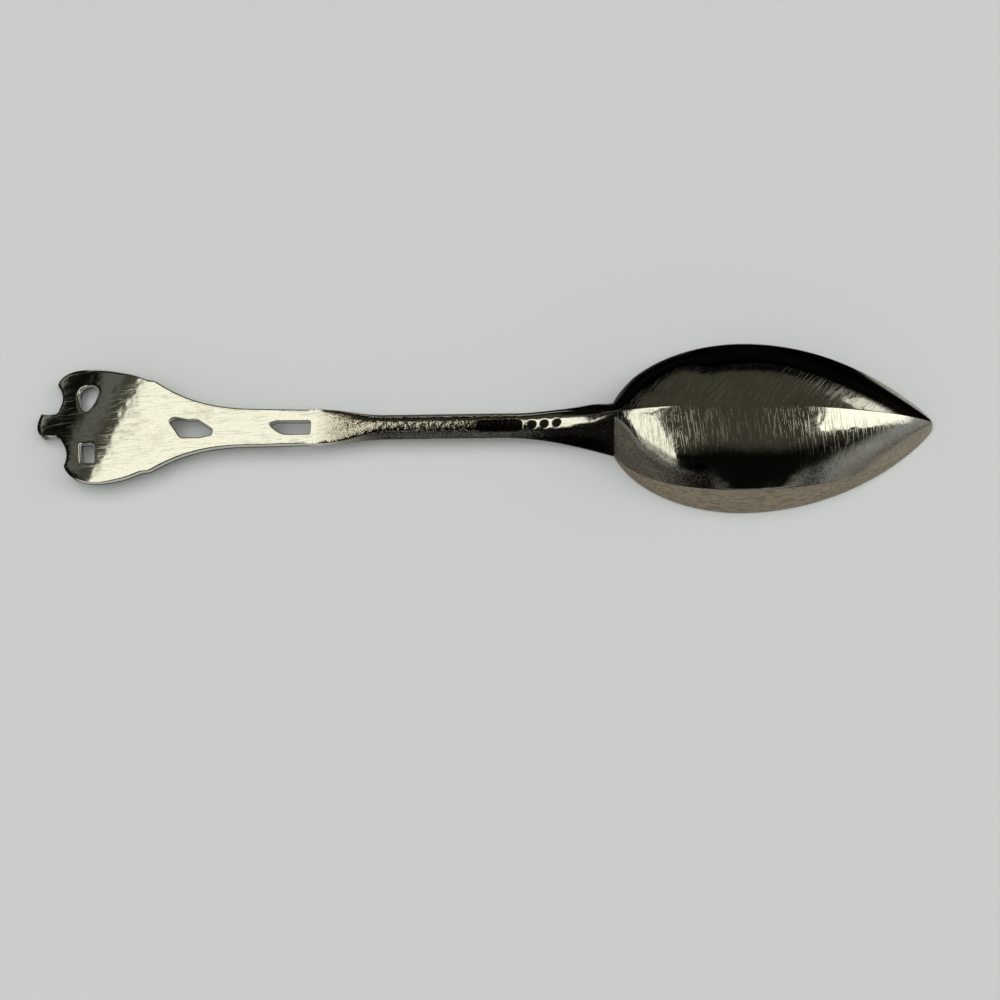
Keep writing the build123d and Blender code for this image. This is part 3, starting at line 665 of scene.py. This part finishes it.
def bent_plate(context, name, curves, edges, slant_x=None):
    """A bent plate with piercings: a rounded rim along each outline, and even triangles between the rims on
    the underside and on top. curves run with the metal on their left, and edges give the rounding."""
    h, p = context.scene.spoon_handle, places(context)
    points, parts, recess, quads, rims, triangles = [], [], [], [], [], []
    base = 0
    for number, (curve, edge) in enumerate(zip(curves, edges)):
        ring, part = rounded_rim(h, curve, edge)
        rows, columns = part.shape
        # Painted shade on the walls: dark up the outline's walls and higher at the lobes' end, and up the
        # piercings' walls, where it is partly real blackening
        end = ease(1.0, 0.0, ring[..., 0] - p.finial, *END_STARTS)
        strength, top = (1.0, HOLE_TOP) if number else (RIM_DARK, RIM_TOP + END_TOP * end)
        wall = strength * ease(1.0, 0.0, part, top, DARK_SOFT)
        points.append(ring.reshape(-1, 2))
        parts.append(part.ravel())
        recess.append((wall * np.minimum(edge / h.edge, 1)).ravel())
        quads.append(base + grid_faces(rows, columns))
        rims.append(base + np.arange(rows * columns).reshape(rows, columns)[[0, -1]])
        base += rows * columns
    flat = np.concatenate(points)
    for side in (0, 1):
        ids = [rim[side] for rim in rims]
        seeds, faces = filled(name, [flat[loop] for loop in ids])
        triangles.append(np.concatenate([*ids, base + np.arange(len(seeds))])[faces])
        points.append(seeds)
        parts.append(np.full(len(seeds), float(side)))
        recess.append(np.zeros(len(seeds)))
        base += len(seeds)
    x, y = np.concatenate(points).T
    z = bent_height(h, p, x, y, np.concatenate(parts))
    if slant_x is not None:
        x = x - (z - h.lift - h.plate / 2) * ease(0.0, 1.0, x - slant_x, *JOINT_SLANTS)
    return make_object(name, np.stack([x, y, z], -1), np.vstack(quads), np.vstack(triangles),
                       recess=np.concatenate(recess))


def line(*corners):
    """Points along straight runs between corners."""
    corners = np.asarray(corners, float)
    part = np.linspace(0, 1, LINE_STEPS, endpoint=False)[:, None]
    runs = corners[:-1, None] * (1 - part) + corners[1:, None] * part
    return runs.reshape(-1, 2)


def arc3(start, middle, end):
    """Points along the circular arc through three points."""
    start, middle, end = (complex(*p) for p in (start, middle, end))
    ratio = (end - start) / (middle - start)
    centre = start + (middle - start) * (abs(ratio) ** 2 - ratio) / (ratio.conjugate() - ratio)
    turn = np.angle((end - centre) / (start - centre))
    way = np.angle((middle - centre) / (start - centre))
    if turn * way < 0:
        turn -= 2 * pi * np.sign(turn)
    swept = centre + (start - centre) * np.exp(1j * turn * np.linspace(0, 1, ARC_STEPS))
    return np.stack([swept.real, swept.imag], -1)


def turned(curve, counter):
    """The same outline running counterclockwise if counter is true, otherwise clockwise."""
    (x0, y0), (x1, y1) = curve.T, np.roll(curve, -1, axis=0).T
    return curve if (np.sum(x0 * y1 - x1 * y0) > 0) == counter else curve[::-1]


def plate_shape(h, p):
    """The plate from above: neck, waist, flare, notch and lobe, scalloped in to the finial's neck, on the +Y
    side, and its mirror image on the other."""
    lobe_end = p.finial + h.lobe_gap
    half = np.vstack([
        line((p.scarf, 0), (p.scarf, h.neck / 2), (p.waist, h.waist / 2)),
        bezier((p.waist, h.waist / 2), (p.waist - h.flare * h.flare_hold, h.waist / 2),
               (p.flare + h.flare * h.flare_sweep, h.sweep_width / 2), (p.flare, h.notch / 2)),
        line((p.flare, h.notch / 2), (p.notch, h.lobe_root / 2)),
        bezier((p.notch, h.lobe_root / 2), (p.notch - h.lobe_length * h.lobe_swell, h.lobe / 2),
               (lobe_end + h.lobe_length * h.lobe_round, h.round_width / 2), (lobe_end, h.lobe_tip / 2)),
        arc3((lobe_end, h.lobe_tip / 2), (lobe_end + h.scallop, (h.lobe_tip + h.collar) / 4),
             (lobe_end, h.collar / 2)),
        bezier((lobe_end, h.collar / 2), (lobe_end, h.finial_neck / 2), (p.finial, h.finial_neck / 2)),
        line((p.finial, h.finial_neck / 2), (p.finial, 0)),
    ])
    return np.vstack([half, half[::-1] * (1, -1)])


def slot_shape(h, p):
    """A slot, square at the stem and swept to a point at the other end."""
    top, low = h.slot_width / 2 - h.slot_drop, -h.slot_width / 2 - h.slot_drop
    far, sweep = p.slot + h.slot_length, p.slot + h.slot_length * h.slot_sweep
    point = (p.slot, top - h.slot_width * h.slot_point)
    return np.vstack([
        line(point, (p.slot + h.slot_length * h.slot_bevel, top), (far, top), (far, low), (sweep, low)),
        bezier((sweep, low), ((p.slot + sweep) / 2, low), point),
    ])


def lozenge_shape(h, p):
    """A lozenge with a wavy upper side, a blunt end towards the stem and a pointed one towards the lobes."""
    top, low = h.lozenge_width / 2 - h.lozenge_drop, -h.lozenge_width / 2 - h.lozenge_drop
    near, run = p.flare + h.lozenge_gap, h.lozenge_length
    far = near + run
    point = (near, top * h.lozenge_wave)
    shoulder = (near + run * h.lozenge_shoulder, top * (1 - h.lozenge_taper))
    rise = (near + run * h.lozenge_flat / 2, top * (1 + h.lozenge_wave))
    dip = (near + run * h.lozenge_shoulder / 2, top * h.lozenge_wave)
    return np.vstack([
        bezier(point, rise, dip, shoulder),
        line(shoulder, (far, low * h.lozenge_blunt), (far, low * (1 - h.lozenge_flat)),
             (far - run * h.lozenge_flat, low), (near + run * h.lozenge_flat, low), point),
    ])


def leaf_shape(h, p):
    """A leaf with a round crown away from the centre line and its tip towards it."""
    low, top = h.eye_offset - h.leaf_width / 2, h.eye_offset + h.leaf_width / 2
    near, far = p.finial + h.eye_gap, p.finial + h.eye_gap + h.leaf_length
    tip = (near + h.leaf_length * h.leaf_tip, low)
    near_hip = (near, h.eye_offset + h.leaf_width * h.leaf_hip)
    far_hip = (far, h.eye_offset + h.leaf_width * h.leaf_cheek)
    crown = top + (top - far_hip[1]) * h.leaf_crown
    return np.vstack([
        bezier(near_hip, (near, crown), (far, crown), far_hip),
        bezier(far_hip, (far - h.leaf_length * h.leaf_taper, (low + h.eye_offset) / 2), tip),
        bezier(tip, (near, low), near_hip),
    ])


def window_shape(h, p):
    """A squared window."""
    near, far = p.finial + h.eye_gap, p.finial + h.eye_gap + h.window_length
    low, top = -h.window_offset - h.window_width / 2, -h.window_offset + h.window_width / 2
    return line((near, low), (far, low), (far, top), (near, top), (near, low))


def terminal_piece(context):
    """The pierced plate with its four sawn piercings, bent at the end. Its edges are rounded, twice as much
    on the worn far side of the upper lobe and on the left of the two eyes, and not at all at the joints."""
    h, p = context.scene.spoon_handle, places(context)
    rim_pitch, rim_soft, hole_pitch, hole_soft = 0.00018, 0.00032, 0.00014, 0.00016
    neck, worn_starts, worn_ends = (0.0, 0.0006), (0.0032, 0.0035), (-0.005, 0.004)

    def joint(x):
        return np.maximum(ease(0.0, 1.0, x - p.scarf, *JOINT_SHARPENS), ease(1.0, 0.0, x - p.finial, *neck))

    outline = turned(closed_curve(plate_shape(h, p), rim_pitch, rim_soft, joint), True)
    shapes = (slot_shape(h, p), lozenge_shape(h, p), leaf_shape(h, p), window_shape(h, p))
    holes = [turned(closed_curve(shape, hole_pitch, hole_soft), False) for shape in shapes]
    x, y = outline.T
    worn = ease(0.0, 1.0, x - p.finial, *worn_starts) * ease(1.0, 0.0, x - p.notch, *worn_ends)
    edges = [h.edge * (1 + (y > 0) * worn) * (1 - joint(x))]
    edges += [np.full(len(hole), FINE_EDGE * h.edge) for hole in holes[:2]]
    for hole in holes[2:]:
        ahead = np.roll(hole, -1, axis=0) - np.roll(hole, 1, axis=0)
        left = np.clip(ahead[:, 1] / np.linalg.norm(ahead, axis=1), 0, 1)
        edges.append(FINE_EDGE * h.edge * (1 + left))
    curves = [np.stack(bent_place(h, p, *curve.T), -1) for curve in (outline, *holes)]
    return bent_plate(context, "terminal_silver", curves, edges, p.scarf)


def finial_piece(context):
    """The finial: a short waisted neck with a flared, crowned end whose upper edge is well rounded."""
    h, p = context.scene.spoon_handle, places(context)
    pitch, soft, neck_sharpens = 0.00012, 0.00025, (-0.0009, 0.0006)

    def side(way):
        neck = bent_place(h, p, p.finial, way * h.finial_neck / 2)
        waist = bent_place(h, p, p.finial - h.finial / 2, way * h.finial_waist / 2)
        corner = bent_place(h, p, p.end + h.crown, way * h.knob / 2)
        crown = bezier(corner, (p.end, h.sway + way * h.knob / 4), (p.end, h.sway))
        return np.vstack([bezier(neck, waist, corner), crown])

    def joint(x):
        return ease(0.0, 1.0, x - p.finial, *neck_sharpens)

    upper, lower = side(1), side(-1)
    outline = np.vstack([line(lower[0], upper[0]), upper, lower[::-1]])
    outline = turned(closed_curve(outline, pitch, soft, joint), True)
    x = outline[:, 0]
    edge = ease(h.knob_round, FINE_EDGE * h.edge, x, p.end, h.crown) * (1 - joint(x))
    return bent_plate(context, "finial_silver", [outline], [edge])


class Nodes:
    """Short-hand for a node tree: add() makes a node, sets its values and links what is itself a socket."""

    def __init__(self, tree):
        self.tree = tree
        tree.nodes.clear()

    def add(self, kind, values=None, **settings):
        made = self.tree.nodes.new(kind)
        for key, value in settings.items():
            setattr(made, key, value)
        for key, value in (values or {}).items():
            if isinstance(value, bpy.types.NodeSocket):
                self.tree.links.new(value, made.inputs[key])
            else:
                made.inputs[key].default_value = value
        return made

    def math(self, operation, first, second=0.0, clamp=False):
        made = self.add("ShaderNodeMath", {0: first, 1: second}, operation=operation, use_clamp=clamp)
        return made.outputs[0]

    def plus(self, first, second):
        return self.math("ADD", first, second)

    def less(self, first, second):
        return self.math("SUBTRACT", first, second)

    def times(self, first, second):
        return self.math("MULTIPLY", first, second)

    def most(self, first, second):
        return self.math("MAXIMUM", first, second)

    def ramp(self, value, low, high, to_low=0.0, to_high=1.0):
        """Maps low..high smoothly to to_low..to_high."""
        return self.add("ShaderNodeMapRange", {0: value, 1: low, 2: high, 3: to_low, 4: to_high},
                        interpolation_type="SMOOTHSTEP").outputs[0]

    def mix(self, part, first, second):
        made = self.add("ShaderNodeMix", {0: part}, data_type="RGBA")
        for key, value in ((6, first), (7, second)):
            if isinstance(value, bpy.types.NodeSocket):
                self.tree.links.new(value, made.inputs[key])
            else:
                made.inputs[key].default_value = (*value, 1.0)
        return made.outputs[2]

    def noise(self, vector, scale, detail, roughness):
        return self.add("ShaderNodeTexNoise", {"Vector": vector, "Scale": scale, "Detail": detail,
                                               "Roughness": roughness}).outputs["Fac"]

    def stretched(self, vector, scale, turn=0.0, kind="POINT"):
        """Coordinates scaled and turned about Z, as a point or, the other way round, as a texture is."""
        values = {"Vector": vector, "Rotation": (0.0, 0.0, radians(turn)), "Scale": scale}
        return self.add("ShaderNodeMapping", values, vector_type=kind).outputs[0]

    def strokes(self, vector, turn, length, fine, thin):
        """Fine scratches: noise drawn out along one direction, thinned to lines."""
        bright = 0.62
        laid = self.stretched(vector, (length, fine, length), turn, "TEXTURE")
        return self.ramp(self.noise(laid, scale=1.0, detail=2.0, roughness=0.6), bright - thin, bright)

    def bump(self, height, distance, normal=None, **settings):
        values = {"Height": height, "Strength": 1.0, "Distance": distance}
        if normal is not None:
            values["Normal"] = normal
        return self.add("ShaderNodeBump", values, **settings).outputs[0]


def silver(context, name, roughness, wear, upper_turn, lower_turn):
    """Worn silver: fine scratches that run one way on each side of the middle, a darker brown on the walls
    that is partly painted reflection, pits on the stem, real blackening in the sunk places, painted dark
    reflection and shade on steep sides and walls, and a slightly uneven surface. Patterns are laid out in
    millimetres, and the scratches' turns are in degrees."""
    look = context.scene.spoon_silver
    made = bpy.data.materials.new(name)
    made.use_nodes = True
    n = Nodes(made.node_tree)
    mm = n.stretched(n.add("ShaderNodeTexCoord").outputs["Object"], (MM, MM, MM))
    y = n.add("ShaderNodeSeparateXYZ", {0: mm}).outputs[1]
    recess, tarnish, pitted = (n.add("ShaderNodeAttribute", attribute_name=key).outputs["Fac"]
                               for key in ("recess", "tarnish", "pitted"))
    clouds = n.noise(mm, scale=0.16, detail=6.0, roughness=0.65)
    grain = n.noise(mm, scale=3.2, detail=3.0, roughness=0.7)
    # Scratches above and below the middle and a few strays, fewer towards both sides
    upper = n.ramp(y, -0.8, 0.8)
    above = n.times(n.strokes(mm, upper_turn, length=5.0, fine=0.22, thin=0.07), upper)
    below = n.times(n.strokes(mm, lower_turn, length=3.4, fine=0.21, thin=0.07), n.less(1.0, upper))
    stray = n.times(n.strokes(mm, 25.0, length=5.0, fine=0.20, thin=0.05), 0.35)
    middle = n.times(n.ramp(y, -8.5, -5.5, 0.1, 1.0), n.ramp(y, 5.5, 9.0, 1.0, 0.08))
    scratch = n.times(n.most(n.most(above, below), stray), n.times(middle, wear))
    # Streaky dulling (partly painted reflection), dark specks in the pits, and blackening and painted shade
    # with uneven borders
    dull_and_painted_reflection = n.most(n.most(tarnish, n.times(pitted, 0.6)), n.ramp(clouds, 0.52, 0.85, 0.0, 0.7))
    streaks = n.noise(n.stretched(mm, (0.5, 3.0, 3.0)), scale=1.0, detail=3.0, roughness=0.65)
    base = n.mix(dull_and_painted_reflection, look.bright, n.mix(n.ramp(streaks, 0.40, 0.70, 0.0, 0.5), look.dull_and_painted_reflection, look.patina_and_painted_shade))
    specks = n.times(n.ramp(grain, 0.52, 0.72), n.plus(n.times(pitted, 0.75), 0.14))
    base = n.mix(specks, base, look.patina_and_painted_shade)
    blotch = n.plus(n.times(clouds, 0.2), n.times(n.less(0.5, grain), n.most(pitted, recess)))
    dark = n.ramp(n.plus(recess, blotch), 0.25, 0.95)
    base = n.mix(dark, base, look.patina_and_painted_shade)
    edge_tint = n.mix(dark, (1.0, 1.0, 1.0), look.patina_and_shade_edge)
    rough = n.plus(n.times(tarnish, look.tarnish_roughness), roughness)
    rough = n.plus(rough, n.times(scratch, look.scratch_roughness))
    rough = n.math("ADD", rough, n.times(dark, look.patina_roughness), clamp=True)
    # Uneven surface, scratches and pits
    bump = n.bump(n.noise(mm, scale=0.3, detail=2.0, roughness=0.5), look.unevenness)
    bump = n.bump(scratch, look.scratch_depth, bump, invert=True)
    pits = n.times(n.noise(mm, scale=1.4, detail=2.0, roughness=0.6), n.plus(n.times(pitted, 0.98), 0.02))
    bump = n.bump(pits, look.pit_depth, bump)
    shader = n.add("ShaderNodeBsdfPrincipled", {"Base Color": base, "Metallic": 1.0, "Roughness": rough,
                                                "Specular Tint": edge_tint, "Normal": bump})
    n.add("ShaderNodeOutputMaterial", {"Surface": shader.outputs[0]})
    return made


class SPOON_OT_bowl(Operator):
    """Make the bowl in worn silver"""
    bl_idname = "spoon.bowl"
    bl_label = "Bowl"

    def execute(self, context):
        look = context.scene.spoon_silver
        material = silver(context, "silver_bowl_worn_painted_shade", look.bowl_roughness, look.bowl_wear,
                          upper_turn=52.0, lower_turn=96.0)
        settle(bowl_piece(context), "bowl", material)
        return {"FINISHED"}


class SPOON_OT_handle(Operator):
    """Make the stem, the pierced terminal and the finial in worn silver"""
    bl_idname = "spoon.handle"
    bl_label = "Handle"

    def execute(self, context):
        look = context.scene.spoon_silver
        material = silver(context, "silver_handle_worn_painted_shade", look.handle_roughness, look.handle_wear,
                          upper_turn=5.0, lower_turn=3.0)
        for node, make in (("stem", stem_piece), ("terminal", terminal_piece), ("finial", finial_piece)):
            settle(make(context), node, material)
        return {"FINISHED"}


def softbox(name, power, place, width, length, turn=0.0, tilt=0.0, tint=(1.0, 0.99, 0.88), glossy=True):
    """A rectangular light that looks down, turned about the vertical and tilted about its own long side."""
    lamp = bpy.data.lights.new(name, "AREA")
    lamp.shape = "RECTANGLE"
    lamp.size, lamp.size_y = width, length
    lamp.energy = power
    lamp.color = tint
    made = placed(name, lamp)
    made.matrix_world = (Matrix.Translation(place) @ Matrix.Rotation(radians(turn), 4, "Z")
                         @ Matrix.Rotation(radians(tilt), 4, "Y"))
    made.visible_glossy = glossy


class SPOON_OT_stage(Operator):
    """Set the pale floor, the soft light and the camera"""
    bl_idname = "spoon.stage"
    bl_label = "Stage"

    def execute(self, context):
        look = context.scene.spoon_stage
        self.floor(look)
        left_share, low_share = 0.38, 0.62
        softbox("left_softbox", left_share * look.key, (-0.235, 0.13, 0.70), width=0.27, length=0.56,
                turn=-8.0)
        softbox("low_softbox", low_share * look.key, (-0.428, -0.575, 0.70), width=0.27, length=0.91,
                turn=-20.0)
        softbox("tip_softbox", look.glint, (0.66, 0.07, 0.50), width=0.50, length=0.44, tilt=46.0)
        softbox("side_softbox", look.side, (0.88, 0.82, 0.50), width=0.30, length=0.24, turn=43.0, tilt=66.0)
        softbox("overhead_fill", look.fill, (0.0, 0.6, 7.2), width=9.6, length=9.6, tint=(1.0, 1.0, 1.0),
                glossy=False)
        self.world(context, look)
        self.camera(context, look)
        return {"FINISHED"}

    def floor(self, look):
        mesh = bpy.data.meshes.new("floor")
        far = 25.0
        mesh.from_pydata([(-far, -far, 0), (far, -far, 0), (far, far, 0), (-far, far, 0)], [], [(0, 1, 2, 3)])
        plane = placed("floor", mesh)
        made = bpy.data.materials.new("pale_floor")
        made.use_nodes = True
        n = Nodes(made.node_tree)
        shader = n.add("ShaderNodeBsdfPrincipled", {"Base Color": (*look.floor, 1.0), "Roughness": 0.8})
        n.add("ShaderNodeOutputMaterial", {"Surface": shader.outputs[0]})
        mesh.materials.append(made)

    def world(self, context, look):
        world = bpy.data.worlds.new("dim_room")
        world.use_nodes = True
        n = Nodes(world.node_tree)
        way = n.add("ShaderNodeTexCoord").outputs["Generated"]
        x, y, z = n.add("ShaderNodeSeparateXYZ", {0: way}).outputs
        # Dim room overhead, to the right of the left softboxes and dark beyond the spoon
        beyond = n.less(y, n.times(z, tan(look.room_far)))
        before = n.plus(y, n.times(z, tan(look.room_near)))
        beside = n.plus(x, n.times(z, tan(look.room_left)))
        right = n.ramp(beside, -0.02, 0.04)
        room = n.times(n.ramp(beyond, -0.25, 0.05, 1.0, 0.0), n.ramp(before, -0.05, 0.30))
        strength = n.times(n.times(room, right), look.room)
        # Strip between that room and the left softbox, which shows on the far lobe
        strip = n.times(n.ramp(n.plus(beside, n.times(y, 0.30)), -0.06, 0.06), n.less(1.0, right))
        strip = n.times(strip, n.ramp(n.math("DIVIDE", y, z), 1.0, 0.8))
        over = n.plus(n.less(y, n.times(z, 0.437)), n.times(beside, 0.45))
        strip = n.times(strip, n.ramp(over, -0.04, 0.04))
        tint = n.mix(strip, (1.0, 0.96, 0.70), (0.95, 1.0, 0.92))
        strength = n.plus(n.plus(strength, n.times(strip, look.strip)), look.night)
        # Pale studio low all round but for a gap beyond the spoon, and a pale horizon below it
        level = n.math("SQRT", n.less(1.0, n.times(z, z)))
        gap = n.ramp(n.math("DIVIDE", y, level), 0.64, 0.87, 1.0, 0.0)
        pale = n.times(n.ramp(z, 0.44, 0.56, 1.0, 0.0), gap)
        pale = n.most(pale, n.ramp(z, 0.08, 0.14, 1.0, 0.0))
        strength = n.most(strength, n.times(pale, look.horizon))
        tint = n.mix(pale, tint, (1.0, 1.0, 1.0))
        back = n.add("ShaderNodeBackground", {"Color": tint, "Strength": strength})
        n.add("ShaderNodeOutputWorld", {"Surface": back.outputs[0]})
        context.scene.world = world

    def camera(self, context, look):
        lean, aside = look.lean, look.aside
        back = np.array([sin(aside), -sin(lean) * cos(aside), cos(lean) * cos(aside)])
        right = np.cross((0, 1, 0), back)
        right /= np.linalg.norm(right)
        up = np.cross(back, right)
        sensor = 36.0
        ray = (look.middle[0] * right + look.middle[1] * up) * sensor / look.lens - back
        eye = -ray * look.distance
        data = bpy.data.cameras.new("photo_view")
        data.sensor_width = sensor
        data.lens = look.lens
        data.clip_start, data.clip_end = 0.01, 20.0
        made = placed("photo_view", data)
        rows = [[*axes, place] for axes, place in zip(np.stack([right, up, back], -1), eye)]
        made.matrix_world = Matrix([*rows, [0, 0, 0, 1]])
        context.scene.camera = made
        context.scene.view_settings.view_transform = "Standard"


class SPOON_PT_panel(Panel):
    """Buttons that make the spoon, and its sizes and looks"""
    bl_idname = "SPOON_PT_panel"
    bl_label = "Citrus spoon"
    bl_space_type = "VIEW_3D"
    bl_region_type = "UI"
    bl_category = "Spoon"

    def draw(self, context):
        layout = self.layout
        for operator in (SPOON_OT_bowl, SPOON_OT_handle, SPOON_OT_stage):
            layout.operator(operator.bl_idname)
        for group in GROUPS:
            values = getattr(context.scene, group)
            box = layout.box()
            for key in values.__annotations__:
                box.prop(values, key)


GROUPS = {
    "spoon_bowl": BowlSizes,
    "spoon_handle": HandleSizes,
    "spoon_silver": SilverLook,
    "spoon_stage": StageLook,
}
CLASSES = (*GROUPS.values(), SPOON_OT_bowl, SPOON_OT_handle, SPOON_OT_stage, SPOON_PT_panel)


def register():
    for item in CLASSES:
        bpy.utils.register_class(item)
    for key, group in GROUPS.items():
        setattr(bpy.types.Scene, key, PointerProperty(type=group))


def unregister():
    for key in GROUPS:
        delattr(bpy.types.Scene, key)
    for item in reversed(CLASSES):
        bpy.utils.unregister_class(item)


def main():
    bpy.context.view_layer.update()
    register()
    bpy.ops.spoon.bowl()
    bpy.ops.spoon.handle()
    bpy.ops.spoon.stage()


if __name__ == "__main__":
    main()
